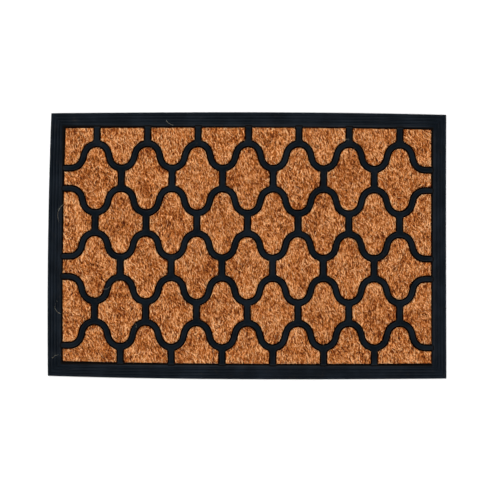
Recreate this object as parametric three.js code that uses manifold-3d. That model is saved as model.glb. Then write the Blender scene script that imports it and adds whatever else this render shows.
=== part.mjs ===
// A coir door mat. A rubber backing sheet carries a ribbed border and a moulded grid of
// wavy ribs and short bars, and each cell of the grid holds a pad of coir fibre.
// Millimetres, +Z up. The origin is the middle of the underside, +X runs along the mat.

import * as THREE from 'three';
import { mergeVertices } from 'three/addons/utils/BufferGeometryUtils.js';
import Module from 'manifold-3d';

const wasm = await Module();
wasm.setup();

// The whole mat
const matLength = 600;
const matDepth = 400;
const clearance = 0.3; // between pieces that lie against each other

// Border: rounded beads side by side, stepping up from the outer lip to the grid
const borderWidth = 22.5;
const lipHeight = 4;
const borderHeight = 7.6;
const beadCount = 4;
const beadGroove = 0.9; // depth of the groove between two beads
const beadFlat = 0.45; // share of a bead's width that is its flat crown

// Backing sheet, flush with the border's underside
const backingThickness = 2.4;

// Grid of waves that run along the mat, joined by bars that run across it
const gridHeight = 8.4;
const ribWidth = 10;
const barWidth = 10.4;
const cellRows = 6;
const cellColumns = 7; // bars in each odd row; even rows are shifted and have one less
const waveHeight = 18.4; // from a wave's middle line to its crest
const flankLength = 8.6; // straight stretch between a crest's arc and a trough's
const crestToBorder = 9.4; // from the border's inner wall to the outermost crest
const waveToBorder = 42.2; // from the border's inner wall to the outermost wave's middle line

// Coir pads
const padHeight = 9.2;

const arcSteps = 4; // half the number of chords in each arc of a wave

// Worked out from the sizes above
const openingLength = matLength - 2 * borderWidth;
const openingDepth = matDepth - 2 * borderWidth;
const cellPitch = (openingLength - 2 * crestToBorder) / cellColumns;
const waveCount = cellRows - 1;
const rowPitch = (openingDepth - 2 * waveToBorder) / (waveCount - 1);
const floorLevel = backingThickness + clearance; // what stands on the backing starts here

// A wave is a chain of equal arcs with straight flanks that touch them. The flank's slope
// follows from a quarter wave: half a flank and one arc make up its run and its rise.
const quarterRun = cellPitch / 4;
const halfFlank = flankLength / 2;
const flankAngle = 2 * Math.atan(waveHeight / (quarterRun + halfFlank));
const waveRadius = (quarterRun - halfFlank * Math.cos(flankAngle)) / Math.sin(flankAngle);

const rubber = new THREE.MeshStandardMaterial({ color: 0x15181c, roughness: 0.62, metalness: 0 });
const gridRubber = new THREE.MeshStandardMaterial({ color: 0x191d22, roughness: 0.55, metalness: 0 });
const coir = new THREE.MeshStandardMaterial({ color: 0xc27c46, roughness: 0.95, metalness: 0 });

function toSolid(geometry) {
  const bare = geometry.clone();
  bare.deleteAttribute('normal');
  bare.deleteAttribute('uv');
  const merged = mergeVertices(bare);
  return new wasm.Manifold(new wasm.Mesh({
    numProp: 3,
    vertProperties: new Float32Array(merged.attributes.position.array),
    triVerts: new Uint32Array(merged.index.array),
  }));
}

function toGeometry(solid) {
  const mesh = solid.getMesh();
  const geometry = new THREE.BufferGeometry();
  geometry.setAttribute('position', new THREE.BufferAttribute(mesh.vertProperties, 3));
  geometry.setIndex(new THREE.BufferAttribute(mesh.triVerts, 1));
  geometry.computeVertexNormals();
  return geometry;
}

function namedMesh(name, geometry, material) {
  const mesh = new THREE.Mesh(geometry, material);
  mesh.name = name;
  return mesh;
}

// An upright prism on the plan outline, from one height to another.
function prism(outline, bottom, top) {
  const shape = new THREE.Shape(outline);
  const geometry = new THREE.ExtrudeGeometry(shape, { depth: top - bottom, bevelEnabled: false });
  geometry.translate(0, 0, bottom);
  return toSolid(geometry);
}

function rectangle(left, right, front, back) {
  return [
    new THREE.Vector2(left, front),
    new THREE.Vector2(right, front),
    new THREE.Vector2(right, back),
    new THREE.Vector2(left, back),
  ];
}

// Places of the bars in a row, left to right. Rows count from the back of the mat.
function barPlaces(row) {
  const count = row % 2 === 0 ? cellColumns : cellColumns - 1;
  return Array.from({ length: count }, (_, i) => (i - (count - 1) / 2) * cellPitch);
}

function waveMiddle(wave) {
  return ((waveCount - 1) / 2 - wave) * rowPitch;
}

// One edge of a wave from left to right, the offset being its distance behind the middle
// line. A wave's crests meet the bars of the row behind it. From its outermost crest or
// trough it runs level into the border, and past it, where everything is cut off.
function waveEdge(wave, offset) {
  const middle = waveMiddle(wave);
  const quarterTurn = Math.PI / 2;
  const turnCount = 2 * cellColumns + 1;
  const path = new THREE.Path();
  for (let i = 0; i < turnCount; i += 1) {
    const place = (i - cellColumns) * cellPitch / 2;
    const before = i === 0 ? 0 : flankAngle;
    const after = i === turnCount - 1 ? 0 : flankAngle;
    if ((wave + i) % 2 === 1) {
      const centre = middle + waveHeight - waveRadius;
      const radius = waveRadius + offset;
      path.absarc(place, centre, radius, quarterTurn + before, quarterTurn - after, true);
    } else {
      const centre = middle - waveHeight + waveRadius;
      const radius = waveRadius - offset;
      path.absarc(place, centre, radius, -quarterTurn - before, -quarterTurn + after, false);
    }
  }
  const bends = path.getPoints(arcSteps);
  const start = new THREE.Vector2(-matLength, bends[0].y);
  const end = new THREE.Vector2(matLength, bends[bends.length - 1].y);
  return [start, ...bends, end];
}

// A wall of the opening that runs along the mat, drawn as far as a wave is.
function wallEdge(y) {
  return [new THREE.Vector2(-matLength, y), new THREE.Vector2(matLength, y)];
}

// The front and back edges are drawn from left to right.
function between(frontEdge, backEdge) {
  return [...frontEdge, ...backEdge.reverse()];
}

function makeBacking() {
  const halfLength = openingLength / 2 - clearance;
  const halfDepth = openingDepth / 2 - clearance;
  const sheet = prism(rectangle(-halfLength, halfLength, -halfDepth, halfDepth), 0, backingThickness);
  return namedMesh('rubber_backing', toGeometry(sheet), rubber);
}

// The border's section, as distance in from the mat's edge and height above its underside.
function borderSection() {
  const beadWidth = borderWidth / beadCount;
  const slope = beadWidth * (1 - beadFlat) / 2;
  const rise = (borderHeight - lipHeight) / (beadCount - 1);
  const section = [new THREE.Vector2(0, 0), new THREE.Vector2(0, lipHeight - beadGroove)];
  for (let i = 0; i < beadCount; i += 1) {
    const start = i * beadWidth;
    const crown = lipHeight + i * rise;
    section.push(new THREE.Vector2(start + slope, crown));
    section.push(new THREE.Vector2(start + beadWidth - slope, crown));
    section.push(new THREE.Vector2(start + beadWidth, crown - beadGroove));
  }
  section.push(new THREE.Vector2(borderWidth, 0));
  section.push(new THREE.Vector2(0, 0));
  return section;
}

// A section turned about the middle in four steps is a square frame with mitred corners.
// Its left and right halves are then drawn apart to the mat's length.
function makeBorder() {
  const cornerStretch = Math.SQRT2;
  const profile = borderSection().map(({ x, y }) => {
    return new THREE.Vector2((matDepth / 2 - x) * cornerStretch, y);
  });
  const frame = new THREE.LatheGeometry(profile, 4, Math.PI / 4);
  frame.rotateX(Math.PI / 2);
  const corners = frame.attributes.position;
  const shift = (matLength - matDepth) / 2;
  for (let i = 0; i < corners.count; i += 1) {
    corners.setX(i, corners.getX(i) + Math.sign(corners.getX(i)) * shift);
  }
  return namedMesh('border_frame', toGeometry(toSolid(frame)), rubber);
}

function makeGrid() {
  const halfRib = ribWidth / 2;
  const solids = [];
  for (let wave = 0; wave < waveCount; wave += 1) {
    const outline = between(waveEdge(wave, -halfRib), waveEdge(wave, halfRib));
    solids.push(prism(outline, floorLevel, gridHeight));
  }
  for (let row = 0; row < cellRows; row += 1) {
    const last = row === cellRows - 1;
    const front = last ? -openingDepth / 2 : waveMiddle(row) + waveHeight;
    const back = row === 0 ? openingDepth / 2 : waveMiddle(row - 1) - waveHeight;
    for (const place of barPlaces(row)) {
      const outline = rectangle(place - barWidth / 2, place + barWidth / 2, front, back);
      solids.push(prism(outline, floorLevel, gridHeight));
    }
  }
  const joined = solids.reduce((whole, solid) => whole.add(solid));
  const halfLength = openingLength / 2 - clearance;
  const halfDepth = openingDepth / 2 - clearance;
  const opening = prism(rectangle(-halfLength, halfLength, -halfDepth, halfDepth), 0, matLength);
  return namedMesh('rubber_grid', toGeometry(joined.intersect(opening)), gridRubber);
}

// The pads of one row: the strip between two waves, cut apart at the bars.
function makePads(row) {
  const side = ribWidth / 2 + clearance;
  const wall = openingDepth / 2 - clearance;
  const frontEdge = row === cellRows - 1 ? wallEdge(-wall) : waveEdge(row, side);
  const backEdge = row === 0 ? wallEdge(wall) : waveEdge(row - 1, -side);
  const strip = prism(between(frontEdge, backEdge), floorLevel, padHeight);
  const bars = barPlaces(row);
  const halfGap = barWidth / 2 + clearance;
  const endWall = openingLength / 2 - clearance;
  const lefts = [-endWall, ...bars.map((place) => place + halfGap)];
  const rights = [...bars.map((place) => place - halfGap), endWall];
  return lefts.map((left, column) => {
    const cell = prism(rectangle(left, rights[column], -matDepth, matDepth), 0, matLength);
    const name = `coir_pad_r${row + 1}_c${column + 1}`;
    return namedMesh(name, toGeometry(strip.intersect(cell)), coir);
  });
}

const mat = new THREE.Group();
mat.add(makeBacking());
mat.add(makeBorder());
mat.add(makeGrid());
for (let row = 0; row < cellRows; row += 1) {
  mat.add(...makePads(row));
}

export default mat;
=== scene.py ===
import math
import random

import bmesh
import bpy
import numpy as np
from mathutils import Matrix, Vector, noise
from mathutils.bvhtree import BVHTree


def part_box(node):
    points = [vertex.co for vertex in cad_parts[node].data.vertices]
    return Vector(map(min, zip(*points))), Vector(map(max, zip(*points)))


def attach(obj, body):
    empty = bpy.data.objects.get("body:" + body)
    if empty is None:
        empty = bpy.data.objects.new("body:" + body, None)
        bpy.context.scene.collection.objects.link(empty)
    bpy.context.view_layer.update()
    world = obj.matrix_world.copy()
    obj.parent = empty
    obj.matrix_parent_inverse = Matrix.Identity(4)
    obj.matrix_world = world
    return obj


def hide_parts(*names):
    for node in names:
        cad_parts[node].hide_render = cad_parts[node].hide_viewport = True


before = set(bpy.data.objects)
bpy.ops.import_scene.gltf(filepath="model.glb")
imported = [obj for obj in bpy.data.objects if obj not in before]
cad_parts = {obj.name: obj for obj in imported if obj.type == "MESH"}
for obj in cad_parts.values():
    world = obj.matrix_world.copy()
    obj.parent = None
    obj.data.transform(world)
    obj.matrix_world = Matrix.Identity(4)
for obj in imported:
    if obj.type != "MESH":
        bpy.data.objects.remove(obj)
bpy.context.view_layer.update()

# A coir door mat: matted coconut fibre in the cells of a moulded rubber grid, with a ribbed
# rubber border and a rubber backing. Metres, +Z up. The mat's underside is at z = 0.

# Sizes that the frame's boxes don't give
CLEARANCE = 0.0003  # between pieces that lie against each other
RIB_WIDTH = 0.010
FLANK_LENGTH = 0.0086  # straight stretch between a crest's arc and a trough's
EMBED = 0.0046  # how far a rib runs on into the border
DIVE = 0.0018  # how far its top comes down on the way
BEAD_COUNT = 4
LIP_HEIGHT = 0.004  # crown of the border's outermost bead
BORDER_CROWN = 0.0076  # crown of its innermost bead
BEAD_GROOVE = 0.0009  # depth of the groove between two beads
FIBRE_LEAN = 0.24  # most coir fibres lie about this far from the Y axis, in radians


# ---------------------------------------------------------------- the frame

def pad_rows():
    """The pads' node names, row by row from the back of the mat, left to right."""
    rows = {}
    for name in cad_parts:
        if name.startswith("coir_pad_r"):
            row, column = name.removeprefix("coir_pad_r").split("_c")
            rows.setdefault(int(row), []).append((int(column), name))
    return [[name for _, name in sorted(rows[row])] for row in sorted(rows)]


class Pattern:
    """Where the grid's waves and bars run, read from the boxes of the pads between them."""

    def __init__(self):
        grid_low, grid_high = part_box("rubber_grid")
        self.foot, self.top = grid_low.z, grid_high.z
        self.wall_x = grid_high.x + CLEARANCE
        self.wall_y = grid_high.y + CLEARANCE
        self.rows = pad_rows()
        boxes = [[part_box(name) for name in row] for row in self.rows]
        self.bars = [
            [(left[1].x + right[0].x) / 2 for left, right in zip(row, row[1:])]
            for row in boxes
        ]
        self.bar_width = boxes[0][1][0].x - boxes[0][0][1].x - 2 * CLEARANCE
        self.pitch = self.bars[0][1] - self.bars[0][0]
        side = RIB_WIDTH / 2 + CLEARANCE
        troughs = [min(low.y for low, _ in row) - side for row in boxes[:-1]]
        crests = [max(high.y for _, high in row) + side for row in boxes[1:]]
        self.middles = [(trough + crest) / 2 for trough, crest in zip(troughs, crests)]
        self.height = (crests[0] - troughs[0]) / 2
        quarter, half_flank = self.pitch / 4, FLANK_LENGTH / 2
        self.angle = 2 * math.atan(self.height / (quarter + half_flank))
        self.radius = (quarter - half_flank * math.cos(self.angle)) / math.sin(self.angle)


pattern = Pattern()
_, border_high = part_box("border_frame")
HALF_LENGTH, HALF_DEPTH = border_high.x, border_high.y
BORDER_WIDTH = HALF_LENGTH - pattern.wall_x


# ---------------------------------------------------------------- light and camera

def make_camera():
    """Nearly straight above the mat, leaning a little from the front."""
    data = bpy.data.cameras.new("camera")
    data.lens = 129.6
    data.clip_end = 20
    camera = bpy.data.objects.new("camera", data)
    camera.location = (-0.0125, -0.0356, 2.7293)
    camera.rotation_euler = [math.radians(angle) for angle in (0.6134, -0.3519, 0.3233)]
    bpy.context.scene.collection.objects.link(camera)
    bpy.context.scene.camera = camera


def make_softbox(name, place, width, height, power):
    """A rectangular lamp that points at the middle of the mat."""
    data = bpy.data.lights.new(name, "AREA")
    data.shape = "RECTANGLE"
    data.size, data.size_y = width, height
    data.energy = power
    lamp = bpy.data.objects.new(name, data)
    lamp.location = place
    lamp.rotation_euler = (-Vector(place)).to_track_quat("-Z", "Y").to_euler()
    bpy.context.scene.collection.objects.link(lamp)


def make_studio():
    """Four softboxes round the mat, a dim white room and a pale floor."""
    floor_level = -0.0003  # just under the mat, so that no piece lies in it
    floor_reach = 6
    pale = (0.86, 0.86, 0.86)
    make_softbox("key_back", (-0.3, 2.0, 1.7), width=2.6, height=1.2, power=58)
    make_softbox("fill_front", (0.3, -2.0, 1.7), width=2.6, height=1.2, power=52)
    make_softbox("side_left", (-2.2, 0.0, 1.6), width=2.0, height=1.2, power=46)
    make_softbox("side_right", (2.2, 0.0, 1.6), width=2.0, height=1.2, power=38)
    world = bpy.data.worlds.new("room")
    world.use_nodes = True
    background = world.node_tree.nodes["Background"]
    background.inputs["Color"].default_value = (1, 1, 1, 1)
    background.inputs["Strength"].default_value = 0.22
    bpy.context.scene.world = world
    bpy.context.scene.view_settings.view_transform = "Standard"

    floor_bm = bmesh.new()
    bmesh.ops.create_grid(floor_bm, x_segments=2, y_segments=2, size=floor_reach)
    bmesh.ops.translate(floor_bm, verts=floor_bm.verts, vec=(0, 0, floor_level))
    mesh = bpy.data.meshes.new("floor")
    floor_bm.to_mesh(mesh)
    floor_bm.free()
    floor = bpy.data.objects.new("floor", mesh)
    bpy.context.scene.collection.objects.link(floor)
    paint = Finish("floor_paint", roughness=0.9)
    paint.colour(pale)
    mesh.materials.append(paint.material)


# ---------------------------------------------------------------- materials

class Value:
    """A number that varies over a surface. Sums written on it add Math nodes."""

    def __init__(self, finish, socket):
        self.finish, self.socket = finish, socket

    def maths(self, operation, *numbers):
        made = self.finish.node("Math", {"operation": operation}, dict(enumerate(numbers)))
        return Value(self.finish, made.outputs[0])

    def __add__(self, other):
        return self.maths("ADD", self, other)

    __radd__ = __add__

    def __sub__(self, other):
        return self.maths("SUBTRACT", self, other)

    def __rsub__(self, other):
        return self.maths("SUBTRACT", other, self)

    def __mul__(self, other):
        return self.maths("MULTIPLY", self, other)

    __rmul__ = __mul__

    def size(self):
        """The number without its sign."""
        return self.maths("ABSOLUTE", self)

    def larger(self, other):
        return self.maths("MAXIMUM", self, other)

    def between(self, low, high):
        """0 below low, 1 above high, and smooth in between."""
        settings = {"interpolation_type": "SMOOTHSTEP"}
        limits = {"Value": self, "From Min": low, "From Max": high}
        made = self.finish.node("MapRange", settings, limits)
        return Value(self.finish, made.outputs["Result"])


class Finish:
    """A material made of one Principled shader, with what feeds it."""

    def __init__(self, name, roughness=0.5, specular=0.5):
        self.material = bpy.data.materials.new(name)
        self.material.use_nodes = True
        self.tree = self.material.node_tree
        self.shader = self.tree.nodes["Principled BSDF"]
        self.shader.inputs["Roughness"].default_value = roughness
        self.shader.inputs["Specular IOR Level"].default_value = specular

    def node(self, kind, settings=None, inputs=None):
        """Adds a node, sets it up, and feeds its sockets with values or links."""
        made = self.tree.nodes.new("ShaderNode" + kind)
        for name, setting in (settings or {}).items():
            if name == "stops":
                self.set_stops(made.color_ramp, setting)
            else:
                setattr(made, name, setting)
        for name, given in (inputs or {}).items():
            self.feed(made.inputs[name], given)
        return made

    def set_stops(self, ramp, stops):
        while len(ramp.elements) < len(stops):
            ramp.elements.new(0.5)
        for element, (place, colour) in zip(ramp.elements, stops):
            element.position = place
            element.color = (*colour, 1)

    def feed(self, socket, given):
        if isinstance(given, Value):
            self.tree.links.new(given.socket, socket)
        elif isinstance(given, bpy.types.NodeSocket):
            self.tree.links.new(given, socket)
        elif socket.type == "RGBA":
            socket.default_value = (*given, 1)
        else:
            socket.default_value = given

    def colour(self, given):
        self.feed(self.shader.inputs["Base Color"], given)

    def place(self):
        """Coordinates on the mat, in metres from the middle of its underside."""
        return self.node("TexCoord").outputs["Object"]

    def stretched(self, sizes, lean):
        """Coordinates for a pattern of these sizes along the axes, leaning from the Y axis."""
        inputs = {"Vector": self.place(), "Rotation": (0, 0, lean), "Scale": sizes}
        return self.node("Mapping", {"vector_type": "TEXTURE"}, inputs).outputs[0]

    def noise(self, where, scale, detail=2.0, roughness=0.5):
        inputs = {"Vector": where, "Scale": scale, "Detail": detail, "Roughness": roughness}
        return Value(self, self.node("TexNoise", {}, inputs).outputs["Fac"])

    def attribute(self, name):
        made = self.node("Attribute", {"attribute_name": name})
        return Value(self, made.outputs["Fac"])

    def axis(self, letter):
        """How far along X, Y or Z a point lies from the middle of the underside."""
        made = self.node("SeparateXYZ", {}, {"Vector": self.place()})
        return Value(self, made.outputs[letter])

    def ramp(self, amount, stops):
        made = self.node("ValToRGB", {"stops": stops}, {"Fac": amount})
        return made.outputs["Color"]

    def mix(self, amount, first, second):
        first_colour, second_colour, mixed = 6, 7, 2  # sockets that share their names
        inputs = {"Factor": amount, first_colour: first, second_colour: second}
        return self.node("Mix", {"data_type": "RGBA"}, inputs).outputs[mixed]

    def bump(self, height, distance, strength):
        inputs = {"Height": height, "Distance": distance, "Strength": strength}
        made = self.node("Bump", {}, inputs)
        self.feed(self.shader.inputs["Normal"], made.outputs["Normal"])


def from_height(start, end):
    """A mask that grows from 0 at one height to 1 at another."""
    return lambda rubber: rubber.axis("Z").between(start, end)


def out_from_coir(near, far):
    """A mask that grows from 0 to 1 with the distance out from the border's inner wall."""
    def mask(rubber):
        across = rubber.axis("X").size() - pattern.wall_x
        along = rubber.axis("Y").size() - pattern.wall_y
        return across.larger(along).between(near, far)
    return mask


def rubber_finish(name, dark, light, wear_and_shade, dusty):
    """Moulded rubber: a fine grain, faint mottling, and dust on the parts that get trodden.

    The mask is 0 in the hollows, which are painted black as painted shade, and 1 where the rubber
    is rubbed.
    """
    painted_shade_black = (0.0012, 0.0007, 0.0005)
    dust_brown = (0.10, 0.065, 0.035)
    hollow_roughness, polish = 0.72, 0.4  # rubbed parts are smoother
    mottle_roughness, pits_roughness = 0.14, 0.08
    grain_share, pits_share = 0.35, 0.65  # of the surface's relief
    relief = 0.0002
    rubber = Finish(name, specular=0.06)
    where = rubber.place()
    mottle = rubber.noise(where, scale=38, detail=4.0, roughness=0.62)
    grain = rubber.noise(where, scale=1500, detail=2.0)
    pits = rubber.noise(where, scale=420, detail=3.0, roughness=0.6)
    rubbed_and_unshaded = wear_and_shade(rubber)
    body = rubber.mix(mottle.between(0.35, 0.68), dark, light)
    dust = rubber.noise(where, scale=120, detail=5.0, roughness=0.72).between(0.56, 0.8)
    body = rubber.mix(dust * rubbed_and_unshaded * dusty, body, dust_brown)
    # painted shade: where the mask is 0, the hollows are painted near black instead of the
    # rubber's own colour
    rubber.colour(rubber.mix(rubbed_and_unshaded, painted_shade_black, body))
    roughness = hollow_roughness - polish * rubbed_and_unshaded
    roughness = roughness + mottle_roughness * mottle + pits_roughness * pits
    rubber.feed(rubber.shader.inputs["Roughness"], roughness)
    rubber.bump(grain * grain_share + pits * pits_share, distance=relief, strength=0.6)
    return rubber.material


def coir_finish():
    """Coconut fibre: each strand has its own tone, from dark husk brown to pale straw."""
    streak_size = (0.00155, 0.0040, 0.0033)
    streak_contrast, patch_contrast = 2.3, 0.85
    middling = 0.5
    coir = Finish("coir_fibre", roughness=0.8, specular=0.14)
    tone = coir.attribute("tone")
    where = coir.stretched(streak_size, FIBRE_LEAN)
    streaks = coir.noise(where, scale=1, detail=2.0, roughness=0.6)
    patches = coir.noise(coir.place(), scale=48, detail=3.0, roughness=0.6)
    amount = tone + streak_contrast * (streaks - middling) + patch_contrast * (patches - middling)
    stops = [
        (0.0, (0.062, 0.010, 0.0014)),
        (0.25, (0.212, 0.032, 0.0022)),
        (0.5, (0.458, 0.133, 0.0195)),
        (0.75, (0.665, 0.257, 0.064)),
        (1.0, (0.87, 0.51, 0.25)),
    ]
    coir.colour(coir.ramp(amount, stops))
    return coir.material


def bleached_finish():
    """A loose fibre that the weather has bleached, paler in some stretches than others."""
    dull, pale = (0.30, 0.24, 0.15), (0.62, 0.57, 0.44)
    fibre = Finish("bleached_fibre", roughness=0.7, specular=0.2)
    stretches = fibre.noise(fibre.place(), scale=300, detail=3.0)
    fibre.colour(fibre.mix(stretches.between(0.3, 0.7), dull, pale))
    return fibre.material


# ---------------------------------------------------------------- pieces

# How the mat lies: its long sides bow out by 2 to 3 mm in the middle, and its ends lie as far
# off straight. Each row is a power of x, a power of y, and how far that term moves a point
# along X and Y, in mm. The powers are of the place in the mat, from -1 at one edge to 1 at
# the other.
BOW_UNITS = 1000  # in a metre
BOW = [
    (1, 0, 0.28, 0.13),
    (0, 1, -0.19, -0.62),
    (2, 0, -0.22, 0.21),
    (1, 1, -1.16, 0.53),
    (0, 2, 1.33, 0.27),
    (3, 0, 1.21, -0.77),
    (2, 1, 0.19, -2.89),
    (1, 2, -0.99, 0.68),
    (0, 3, 0.13, 2.90),
]


def bowed(x, y):
    """Where a point of the straight mat lies on the bowed one."""
    at_x, at_y = x / HALF_LENGTH, y / HALF_DEPTH
    for power_x, power_y, along, across in BOW:
        share = at_x**power_x * at_y**power_y / BOW_UNITS
        x += along * share
        y += across * share
    return x, y


def bow(corners):
    for corner in corners:
        corner.co.x, corner.co.y = bowed(corner.co.x, corner.co.y)


def add_piece(bm, name, material, slot, *nodes):
    """Makes the bmesh a piece of the mat that stands for the CAD nodes."""
    bow(bm.verts)
    mesh = bpy.data.meshes.new(name)
    bm.to_mesh(mesh)
    bm.free()
    mesh.materials.append(material)
    piece = bpy.data.objects.new(name, mesh)
    bpy.context.scene.collection.objects.link(piece)
    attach(piece, "root")
    if nodes:
        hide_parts(*nodes)
    return piece


def shade(piece, angle):
    """Smooth shading with creases where faces meet at more than the angle."""
    piece.data.shade_smooth()
    piece.data.set_sharp_from_angle(angle=math.radians(angle))


def only(kind, geometry):
    return [part for part in geometry if isinstance(part, kind)]


def settle(bm):
    """Puts edges and faces in order of their corners, so that every run gives the same mesh.

    Extruding leaves them in any order, and joining them then varies by a face or two.
    """
    bm.verts.index_update()
    for elements in (bm.edges, bm.faces):
        ordered = sorted(elements, key=lambda part: sorted(corner.index for corner in part.verts))
        ranks = {part: rank for rank, part in enumerate(ordered)}
        elements.sort(key=ranks.get)


def square_loop(bm):
    """A square of edges from -1 to 1, its sides in short stretches so that they can bow."""
    stretches = 24
    bmesh.ops.create_grid(bm, x_segments=1, y_segments=1, size=1)
    bmesh.ops.delete(bm, geom=bm.faces[:], context="FACES_ONLY")
    bmesh.ops.subdivide_edges(bm, edges=bm.edges[:], cuts=stretches - 1)
    return bm.edges[:]


def set_loop(edges, before, after):
    """Moves the loop from one distance in from the mat's edge and height to another."""
    grow_x = (HALF_LENGTH - after[0]) / (HALF_LENGTH - before[0])
    grow_y = (HALF_DEPTH - after[0]) / (HALF_DEPTH - before[0])
    for corner in {corner for edge in edges for corner in edge.verts}:
        corner.co.x *= grow_x
        corner.co.y *= grow_y
        corner.co.z = after[1]


def border_section():
    """The border's outline from its outer foot to its inner foot: (distance in, height)."""
    steps = 8  # along each bead and along the shoulder
    foot_bevel = 0.0006
    bead_squareness, shoulder_curve = 3, 1.6
    shoulder = 0.0036  # falls from the innermost bead to the coir
    drop = 0.0026
    width = (BORDER_WIDTH - shoulder) / BEAD_COUNT
    rise = (BORDER_CROWN - LIP_HEIGHT) / (BEAD_COUNT - 1)
    start = LIP_HEIGHT - BEAD_GROOVE
    section = [(foot_bevel, 0.0), (0.0, foot_bevel), (0.0, start)]
    for bead in range(BEAD_COUNT):
        top = LIP_HEIGHT + bead * rise
        end = top - BEAD_GROOVE
        for step in range(1, steps + 1):
            share = step / steps
            side = start if share < 0.5 else end
            fall = abs(2 * share - 1) ** bead_squareness
            section.append(((bead + share) * width, top - (top - side) * fall))
        start = end
    for step in range(1, steps + 1):
        share = step / steps
        fall = drop * share**shoulder_curve
        section.append((BEAD_COUNT * width + shoulder * share, start - fall))
    section.append((BORDER_WIDTH, 0.0))
    return section


def make_border(material):
    """A loop of edges drawn over the border's section, which leaves mitred corners."""
    bm = bmesh.new()
    first = loop = square_loop(bm)
    section = border_section()
    size = Matrix.Diagonal((HALF_LENGTH, HALF_DEPTH, 1, 1))
    bmesh.ops.transform(bm, matrix=size, verts=bm.verts)
    set_loop(first, (0, 0), section[0])
    for before, after in zip(section, section[1:]):
        made = bmesh.ops.extrude_edge_only(bm, edges=loop)["geom"]
        loop = only(bmesh.types.BMEdge, made)
        loop = [edge for edge in loop if len(edge.link_faces) == 1]
        set_loop(loop, before, after)
    bmesh.ops.bridge_loops(bm, edges=first + loop)
    bmesh.ops.recalc_face_normals(bm, faces=bm.faces)
    settle(bm)
    border = add_piece(bm, "ribbed_border", material, "rubber", "border_frame")
    shade(border, angle=40)
    return border


def rib_section(width, foot, top):
    """A rib's cross-section in the YZ plane: steep flanks and round shoulders, as its edges."""
    draft = 0.0018  # how much narrower each side is at the top
    shoulder = 0.0013  # distance from the corner at which its rounding starts
    bm = bmesh.new()
    bmesh.ops.create_grid(bm, x_segments=1, y_segments=1, size=0.5)
    upright = Matrix.Rotation(math.radians(90), 4, "Y")
    size = Matrix.Diagonal((1, width, top - foot, 1))
    centre = Matrix.Translation((0, 0, (foot + top) / 2))
    bmesh.ops.transform(bm, matrix=centre @ size @ upright, verts=bm.verts)
    high = [corner for corner in bm.verts if corner.co.z > foot + shoulder]
    for corner in high:
        corner.co.y -= math.copysign(draft, corner.co.y)
    bmesh.ops.bevel(
        bm,
        geom=high,
        offset=shoulder,
        segments=3,
        profile=0.5,
        affect="VERTICES",
        material=-1,
    )
    bmesh.ops.delete(bm, geom=bm.faces[:], context="FACES_ONLY")
    return bm, bm.edges[:]


def add_to(whole, part):
    """Moves a finished part into the bmesh that it belongs to."""
    mesh = bpy.data.meshes.new("part")
    part.to_mesh(mesh)
    part.free()
    whole.from_mesh(mesh)
    bpy.data.meshes.remove(mesh)


def turn(bm, loop, centre, angle, steps):
    """Sweeps the loop round an upright axis, and returns where it ends."""
    corners = list({corner for edge in loop for corner in edge.verts})
    made = bmesh.ops.spin(
        bm,
        geom=corners + loop,
        cent=centre,
        axis=(0, 0, 1),
        angle=angle,
        steps=steps,
        use_duplicate=False,
    )
    return only(bmesh.types.BMEdge, made["geom_last"])


def run(bm, loop, step):
    """Extrudes the loop by the step, and returns where it ends."""
    made = bmesh.ops.extrude_edge_only(bm, edges=loop)["geom"]
    corners = only(bmesh.types.BMVert, made)
    bmesh.ops.translate(bm, verts=corners, vec=step)
    ends = set(corners)
    edges = only(bmesh.types.BMEdge, made)
    return [edge for edge in edges if edge.verts[0] in ends and edge.verts[1] in ends]


def lower_top(loop, drop):
    """Lowers the upper corners of a rib's section."""
    middle = (pattern.foot + pattern.top) / 2
    for corner in {corner for edge in loop for corner in edge.verts}:
        if corner.co.z > middle:
            corner.co.z -= drop


def add_wave(waves, wave, middle):
    """Sweeps one wavy rib. It starts and ends level and dives into the border."""
    steps = 7  # in half of a crest's arc
    angle = pattern.angle
    down = Vector((math.cos(angle), -math.sin(angle), 0)) * FLANK_LENGTH
    up = Vector((down.x, -down.y, 0))
    last = 2 * len(pattern.bars[0])
    outermost = last * pattern.pitch / 4
    level_run = (pattern.wall_x - outermost, 0, 0)
    bm, loop = rib_section(RIB_WIDTH, pattern.foot, pattern.top)
    for index in range(last + 1):
        place = index * pattern.pitch / 2 - outermost
        crest = (wave + index) % 2 == 1
        side = 1 if crest else -1
        if index == 0:
            start = (-pattern.wall_x - EMBED, middle + side * pattern.height, 0)
            bmesh.ops.translate(bm, verts=bm.verts, vec=start)
            lower_top(loop, DIVE)
            loop = run(bm, loop, (EMBED, 0, 0))
            lower_top(loop, -DIVE)
            loop = run(bm, loop, level_run)
        centre = (place, middle + side * (pattern.height - pattern.radius), 0)
        halves = 1 if index in (0, last) else 2
        loop = turn(bm, loop, centre, -side * halves * angle, halves * steps)
        flank = down if crest else up
        loop = run(bm, loop, level_run if index == last else flank)
    loop = run(bm, loop, (EMBED, 0, 0))
    lower_top(loop, DIVE)
    add_to(waves, bm)


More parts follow.
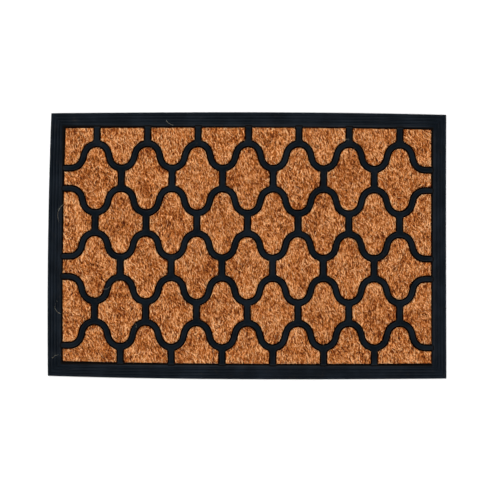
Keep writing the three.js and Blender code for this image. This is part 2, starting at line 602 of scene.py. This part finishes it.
def add_bar(bars, place, front, back):
    """A short bar along Y that flares into the wave or the border at each end."""
    fillet = 0.0019  # radius of the flare
    sink = 0.00012  # how far a bar's top lies below the waves'
    reach = 0.003  # how far a bar runs on into a wave
    steps = 4
    half = pattern.bar_width / 2
    flare = []
    for step in range(steps + 1):
        angle = math.radians(90) * step / steps
        along = fillet * (1 - math.cos(angle))
        flare.append((along, half + fillet * (1 - math.sin(angle))))
    in_wave, in_border = (-reach, half + fillet), (-EMBED, half + fillet)
    starts_in_border, ends_in_border = front == -pattern.wall_y, back == pattern.wall_y
    first = [in_border if starts_in_border else in_wave, *flare]
    last = [*reversed(flare), in_border if ends_in_border else in_wave]
    stations = [(front + along, wide) for along, wide in first]
    stations += [(back - along, wide) for along, wide in last]
    bm, loop = rib_section(2 * half, pattern.foot, pattern.top - sink)
    quarter_turn = Matrix.Rotation(math.radians(-90), 3, "Z")
    bmesh.ops.rotate(bm, verts=bm.verts, cent=(0, 0, 0), matrix=quarter_turn)
    bmesh.ops.translate(bm, verts=bm.verts, vec=(place, stations[0][0], 0))
    wide = half
    for index, (along, next_wide) in enumerate(stations):
        if index:
            loop = run(bm, loop, (0, along - stations[index - 1][0], 0))
        if index == 0 and starts_in_border:
            lower_top(loop, DIVE)
        if index == 1 and starts_in_border:
            lower_top(loop, -DIVE)
        if index == len(stations) - 1 and ends_in_border:
            lower_top(loop, DIVE)
        for corner in {corner for edge in loop for corner in edge.verts}:
            offset = corner.co.x - place
            corner.co.x = place + math.copysign(abs(offset) + next_wide - wide, offset)
        wide = next_wide
    add_to(bars, bm)


def close_ends(bm):
    """Closes the open ends of what was swept, and turns its faces outwards."""
    rims = [edge for edge in bm.edges if edge.is_boundary]
    bmesh.ops.holes_fill(bm, edges=rims, sides=0)
    bmesh.ops.recalc_face_normals(bm, faces=bm.faces)


def make_grid(material):
    """The waves and the bars between them, joined as one moulding."""
    waves = bmesh.new()
    for wave, middle in enumerate(pattern.middles):
        add_wave(waves, wave, middle)
    close_ends(waves)
    settle(waves)
    bars = bmesh.new()
    edge = RIB_WIDTH / 2
    for row, places in enumerate(pattern.bars):
        front, back = -pattern.wall_y, pattern.wall_y
        if row < len(pattern.middles):
            front = pattern.middles[row] + pattern.height + edge
        if row > 0:
            back = pattern.middles[row - 1] - pattern.height - edge
        for place in places:
            add_bar(bars, place, front, back)
    close_ends(bars)
    settle(bars)
    grid = add_piece(waves, "moulded_grid", material, "grid_rubber", "rubber_grid")
    bow(bars.verts)
    mesh = bpy.data.meshes.new("bars")
    bars.to_mesh(mesh)
    bars.free()
    mesh.materials.append(material)
    other = bpy.data.objects.new("bars", mesh)
    bpy.context.scene.collection.objects.link(other)
    join = grid.modifiers.new("join", "BOOLEAN")
    join.operation = "UNION"
    join.solver = "EXACT"
    join.object = other
    graph = bpy.context.evaluated_depsgraph_get()
    joined = bpy.data.meshes.new_from_object(grid.evaluated_get(graph), depsgraph=graph)
    grid.modifiers.remove(join)
    bpy.data.objects.remove(other)
    grid.data = joined
    shade(grid, angle=38)
    return grid


def make_backing(material):
    """The rubber sheet, its underside moulded into shallow square pockets that grip."""
    low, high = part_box("rubber_backing")
    pocket = 0.009  # from one pocket to the next, about
    wall = 0.0011  # from a pocket's edge to halfway to the next
    depth = 0.0006
    facing_down, flat = -0.9, 0.1
    bm = bmesh.new()
    columns = round((high.x - low.x) / pocket)
    rows = round((high.y - low.y) / pocket)
    bmesh.ops.create_grid(bm, x_segments=columns, y_segments=rows, size=0.5)
    size = Matrix.Diagonal((high.x - low.x, high.y - low.y, 1, 1))
    bmesh.ops.transform(bm, matrix=size, verts=bm.verts)
    sheet = bm.faces[:]
    made = bmesh.ops.extrude_face_region(bm, geom=sheet, use_keep_orig=True)["geom"]
    lifted = only(bmesh.types.BMVert, made)
    bmesh.ops.translate(bm, verts=lifted, vec=(0, 0, high.z))
    bmesh.ops.recalc_face_normals(bm, faces=bm.faces)
    under = [face for face in bm.faces if face.normal.z < facing_down]
    inner = []
    for face in under:
        if all(edge.calc_face_angle(0) < flat for edge in face.edges):
            inner.append(face)
    bmesh.ops.inset_individual(bm, faces=inner, thickness=wall, depth=-depth)
    settle(bm)
    backing = add_piece(bm, "grip_backing", material, "rubber", "rubber_backing")
    shade(backing, angle=30)


# ---------------------------------------------------------------- coir

STRAND_RINGS = 4
STRAND_SIDES = 3
STRAND_CORNERS = STRAND_RINGS * STRAND_SIDES
STRAND_SHAPES = 16
STRANDS_PER_AREA = 520000  # in each square metre of a pad's box
STRAND_LENGTHS = (0.005, 0.0125)
STRAND_WIDTHS = (0.0004, 0.00105)
STRAND_FLATNESS = 0.8  # a strand's height over its width
STRAND_BEND = 2.2  # at most, in strand widths, as are the next two
STRAND_WRIGGLE = 0.7
STRAND_LIFT = 0.9
TIP_TAPER = 0.72  # how much of its width a strand loses towards its tips

PAD_CORE_EDGE = 0.0060  # height of the matted core at the wall, before its edge bends down
PAD_CROWN = 0.0014  # how much higher the middle stands
CROWN_RUN = 0.006  # the crown is reached over about this distance
EDGE_DROP = 0.0018  # how far the coir bends down at the wall
EDGE_RUN = 0.0010  # most of that within about this distance
LOWEST_STRAND = 0.0002  # above the core
STRANDS_DEEP = 0.0018  # from the lowest strand to the highest
NEAREST_WALL = 0.0004  # no strand's middle is nearer the wall than this
WALL_MARGIN = 0.0001  # and no corner of a strand nearer than this

# Tones: 0 is dark husk, 1 is pale straw
# painted shade: the core is painted near the darkest tone, for the shade deep under the strands
CORE_SHADE_TONE = 0.02
STRAND_TONE, TONE_SPREAD = 0.48, 0.22
# painted shade: strands lower in the pile, under the others, are painted darker
PAINTED_SHADE_OF_DEPTH = 0.35  # how much paler the highest strands are than the lowest
TONE_AT_WALL = 0.34  # how much paler the strands are beside the rubber
TONE_RUN = 0.0016  # most of that within about this distance


def bent_strand(rng):
    """A tapering strand of unit length along Y and about unit width, bent at random."""
    bm = bmesh.new()
    bmesh.ops.create_circle(bm, segments=STRAND_SIDES, radius=0.5, cap_ends=False)
    upright = Matrix.Rotation(math.radians(90), 3, "X")
    bmesh.ops.rotate(bm, verts=bm.verts, cent=(0, 0, 0), matrix=upright)
    bmesh.ops.translate(bm, verts=bm.verts, vec=(0, -0.5, 0))
    loop = bm.edges[:]
    for _ in range(STRAND_RINGS - 1):
        loop = run(bm, loop, (0, 1 / (STRAND_RINGS - 1), 0))
    close_ends(bm)
    bend = rng.uniform(-STRAND_BEND, STRAND_BEND)
    wriggle = rng.uniform(-STRAND_WRIGGLE, STRAND_WRIGGLE)
    lift = rng.uniform(0, STRAND_LIFT)
    phase = rng.uniform(0, math.tau)
    half_wave = 3.2  # about half a wave from the middle to each tip
    for corner in bm.verts:
        along = 2 * corner.co.y
        taper = 1 - TIP_TAPER * abs(along) ** 3
        corner.co.x = corner.co.x * taper + bend * (1 - along**2)
        corner.co.x += wriggle * math.sin(half_wave * along + phase)
        corner.co.z = corner.co.z * taper + lift * (1 - along**2)
    mesh = bpy.data.meshes.new("strand")
    bm.to_mesh(mesh)
    bm.free()
    return mesh


class Cell:
    """The space that one pad of the frame fills, for keeping its coir inside it."""

    def __init__(self, node):
        upright = 0.5  # a face belongs to the wall if its normal rises less than this
        self.low, self.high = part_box(node)
        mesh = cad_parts[node].data
        corners = [corner.co for corner in mesh.vertices]
        faces = mesh.polygons
        sides = [list(face.vertices) for face in faces if abs(face.normal.z) < upright]
        tops = [list(face.vertices) for face in faces if face.normal.z > upright]
        self.wall = BVHTree.FromPolygons(corners, sides)
        self.top = BVHTree.FromPolygons(corners, tops)
        self.level = (self.low.z + self.high.z) / 2

    def depth(self, x, y):
        """How far in from the wall a point is, or less than 0 outside it."""
        clear = 0.001
        distance = self.wall.find_nearest((x, y, self.level))[3]
        overhead = (x, y, self.high.z + clear)
        inside = self.top.ray_cast(overhead, (0, 0, -1))[0] is not None
        return distance if inside else -distance

    def pull_in(self, point, margin):
        """Moves a point that is out of the cell, or too near its wall, to the margin.

        Returns how far in from the wall it then is.
        """
        depth = self.depth(point.x, point.y)
        if depth < margin:
            level = Vector((point.x, point.y, self.level))
            place = self.wall.find_nearest(level)[0]
            inward = (level - place) if depth > 0 else (place - level)
            moved = place + inward.normalized() * margin
            point.x, point.y = moved.x, moved.y
        return max(depth, margin)


def crown(depth):
    """How much higher than its edge a pad stands at this distance in from the wall."""
    inside = max(depth, 0)
    rise = PAD_CROWN * (1 - math.exp(-inside / CROWN_RUN))
    return rise - EDGE_DROP * math.exp(-inside / EDGE_RUN)


def add_core(pad, node, cell):
    """The matted core of a pad: the CAD solid with its top cut into a grid and crowned."""
    spacing = 0.004
    touching = 1e-6
    bm = bmesh.new()
    bm.from_mesh(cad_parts[node].data)
    bmesh.ops.remove_doubles(bm, verts=bm.verts, dist=touching)
    for axis in (0, 1):
        along = Vector((1 - axis, axis, 0))
        place = cell.low[axis] + spacing
        while place < cell.high[axis]:
            whole = bm.verts[:] + bm.edges[:] + bm.faces[:]
            bmesh.ops.bisect_plane(bm, geom=whole, plane_co=along * place, plane_no=along)
            place += spacing
    for corner in bm.verts:
        if corner.co.z > cell.level:
            corner.co.z = PAD_CORE_EDGE + crown(cell.depth(corner.co.x, corner.co.y))
    add_to(pad, bm)


def smooth_noise(x, y, scale, layer):
    """A number from -1 to 1 that changes smoothly over the mat, its own in each layer."""
    return noise.noise(Vector((x * scale, y * scale, layer)))


def strand_angle(x, y, rng):
    """The way a strand lies, from the Y axis: mostly along it, but combed across in places."""
    unruly, any_way = 0.2, 1.57  # the share of strands that lie at any angle, up to this
    spread = 0.36
    sway_most, swirl_most = 0.4, 1.1
    sway = smooth_noise(x, y, scale=14, layer=3.7)
    swirl = smooth_noise(x, y, scale=46, layer=9.1)
    combed = sway_most * sway + swirl_most * swirl
    if rng.random() < unruly:
        return rng.uniform(-any_way, any_way)
    return combed + rng.gauss(FIBRE_LEAN, spread)


def make_pad(node, shapes, material, rng):
    """One cell's coir: a core under layers of strands that stay inside the cell."""
    tilt_spread = 0.05
    cell = Cell(node)
    low, high = cell.low, cell.high
    bm = bmesh.new()
    add_core(bm, node, cell)
    core_corners = len(bm.verts)
    wanted = round((high.x - low.x) * (high.y - low.y) * STRANDS_PER_AREA)
    tones = []
    for _ in range(wanted):
        x, y = rng.uniform(low.x, high.x), rng.uniform(low.y, high.y)
        share = rng.random()
        angle = strand_angle(x, y, rng)
        length = rng.uniform(*STRAND_LENGTHS)
        width = rng.uniform(*STRAND_WIDTHS)
        shape = rng.choice(shapes)
        tilt = rng.gauss(0, tilt_spread)
        tone = rng.gauss(STRAND_TONE, TONE_SPREAD)
        depth = cell.depth(x, y)
        if depth < NEAREST_WALL:
            continue
        layer = PAD_CORE_EDGE + LOWEST_STRAND + STRANDS_DEEP * share
        lie = Matrix.Rotation(angle, 4, "Z") @ Matrix.Rotation(tilt, 4, "X")
        size = Matrix.Diagonal((width, length, width * STRAND_FLATNESS, 1))
        place = Matrix.Translation((x, y, layer)) @ lie @ size
        bm.from_mesh(shape)
        bm.verts.ensure_lookup_table()
        for corner in bm.verts[-STRAND_CORNERS:]:
            corner.co = place @ corner.co
        # painted shade: the lower a strand lies in the pile, the darker it is painted
        tone += PAINTED_SHADE_OF_DEPTH * (share - 0.5)
        tones.append(tone + TONE_AT_WALL * math.exp(-depth / TONE_RUN))
    bm.verts.ensure_lookup_table()
    for corner in bm.verts[core_corners:]:
        corner.co.z += crown(cell.pull_in(corner.co, WALL_MARGIN))
    pad = add_piece(bm, node.replace("coir_pad", "coir_fill"), material, "coir", node)
    fill_tones(pad.data, core_corners, tones)
    pad.data.shade_smooth()


def fill_tones(mesh, core_corners, tones):
    """Stores a tone for each corner, one for the core, which is painted dark as shade, and one
    for each strand.
    """
    tone = np.full(len(mesh.vertices), CORE_SHADE_TONE)
    tone[core_corners:] = np.repeat(tones, STRAND_CORNERS)
    mesh.attributes.new("tone", "FLOAT", "POINT").data.foreach_set("value", tone)


def make_pads(material):
    """All the pads, row by row. They share one set of strand shapes."""
    rng = random.Random(11)
    shapes = [bent_strand(rng) for _ in range(STRAND_SHAPES)]
    for row in pattern.rows:
        for node in row:
            make_pad(node, shapes, material, rng)
    for mesh in shapes:
        bpy.data.meshes.remove(mesh)


# Fibres that have worked loose and lie across the mat: where each starts and ends
STRAYS = [
    (-0.277, 0.062, -0.283, 0.034),
    (-0.218, -0.067, -0.206, -0.063),
    (-0.172, -0.117, -0.170, -0.129),
    (-0.293, -0.174, -0.278, -0.171),
    (-0.126, 0.189, -0.114, 0.181),
]
STRAY_COUNT = 12
STRAY_RINGS = 14
STRAY_RADIUS = 0.00012
STRAY_BEND = 0.35  # at most, as a share of a fibre's length


def stray_places(rng):
    """The fibres above and some more at random over the whole mat."""
    margin = 0.012
    shortest, longest = 0.008, 0.022
    places = list(STRAYS)
    while len(places) < STRAY_COUNT:
        x = rng.uniform(-HALF_LENGTH + margin, HALF_LENGTH - margin)
        y = rng.uniform(-HALF_DEPTH + margin, HALF_DEPTH - margin)
        angle, length = rng.uniform(0, math.tau), rng.uniform(shortest, longest)
        places.append((x, y, x + length * math.cos(angle), y + length * math.sin(angle)))
    return places


def draped_path(ends, bend, surfaces):
    """A bent path between the ends that lies on the highest of the surfaces, or the coir."""
    edge = 0.001  # a fibre keeps this far inside the mat's outline
    overhead = 0.02
    coir_top = 0.0098
    x0, y0, x1, y1 = ends
    start, end = Vector((x0, y0, 0)), Vector((x1, y1, 0))
    across = Vector((y0 - y1, x1 - x0, 0))
    path = []
    for ring in range(STRAY_RINGS):
        share = ring / (STRAY_RINGS - 1)
        point = start.lerp(end, share) + across * bend * 4 * share * (1 - share)
        point.x = max(-HALF_LENGTH + edge, min(HALF_LENGTH - edge, point.x))
        point.y = max(-HALF_DEPTH + edge, min(HALF_DEPTH - edge, point.y))
        above = (*bowed(point.x, point.y), overhead)
        hits = [surface.ray_cast(above, (0, 0, -1))[0] for surface in surfaces]
        levels = [hit.z for hit in hits if hit]
        point.z = max(levels) if levels else coir_top
        path.append(point)
    heights = []
    for ring, point in enumerate(path):
        before, after = path[max(ring - 1, 0)], path[min(ring + 1, STRAY_RINGS - 1)]
        heights.append(max(before.z, point.z, after.z))
    for point, height in zip(path, heights):
        point.z = height + STRAY_RADIUS
    return path


def make_strays(material, pieces):
    """Thin single fibres draped over the rubber pieces and the coir."""
    rng = random.Random(5)
    graph = bpy.context.evaluated_depsgraph_get()
    surfaces = [BVHTree.FromObject(piece, graph) for piece in pieces]
    whole = bmesh.new()
    for ends in stray_places(rng):
        bend = rng.uniform(-STRAY_BEND, STRAY_BEND)
        path = draped_path(ends, bend, surfaces)
        bm = bmesh.new()
        bmesh.ops.create_circle(bm, segments=3, radius=STRAY_RADIUS, cap_ends=False)
        first = (path[1] - path[0]).to_track_quat("Z", "Y").to_matrix()
        bmesh.ops.rotate(bm, verts=bm.verts, cent=(0, 0, 0), matrix=first)
        bmesh.ops.translate(bm, verts=bm.verts, vec=path[0])
        loop = bm.edges[:]
        for here, there in zip(path, path[1:]):
            loop = run(bm, loop, there - here)
        close_ends(bm)
        add_to(whole, bm)
    strays = add_piece(whole, "loose_fibres", material, "coir")
    strays.data.shade_smooth()


# ---------------------------------------------------------------- the mat

make_camera()
make_studio()
border_rubber = rubber_finish(
    "border_rubber",
    dark=(0.0012, 0.0028, 0.0050),
    light=(0.0040, 0.0066, 0.0104),
    # painted shade: the border's shoulder beside the coir is painted black
    wear_and_shade=out_from_coir(near=0.0026, far=0.0042),
    dusty=0.12,
)
backing_rubber = rubber_finish(
    "backing_rubber",
    dark=(0.0110, 0.0125, 0.0150),
    light=(0.0210, 0.0225, 0.0250),
    # painted shade: the higher the backing lies above its underside, the blacker it is painted,
    # so the pocket floors are darker and its top is black
    wear_and_shade=from_height(start=0.0024, end=0.0),
    dusty=0.5,
)
grid_rubber = rubber_finish(
    "grid_rubber",
    dark=(0.0008, 0.0024, 0.0042),
    light=(0.0028, 0.0054, 0.0084),
    # painted shade: the ribs' flanks and shoulders, below their tops, are painted black
    wear_and_shade=from_height(start=0.0072, end=0.0083),
    dusty=0.16,
)
make_backing(backing_rubber)
border = make_border(border_rubber)
grid = make_grid(grid_rubber)
make_pads(coir_finish())
make_strays(bleached_finish(), [border, grid])
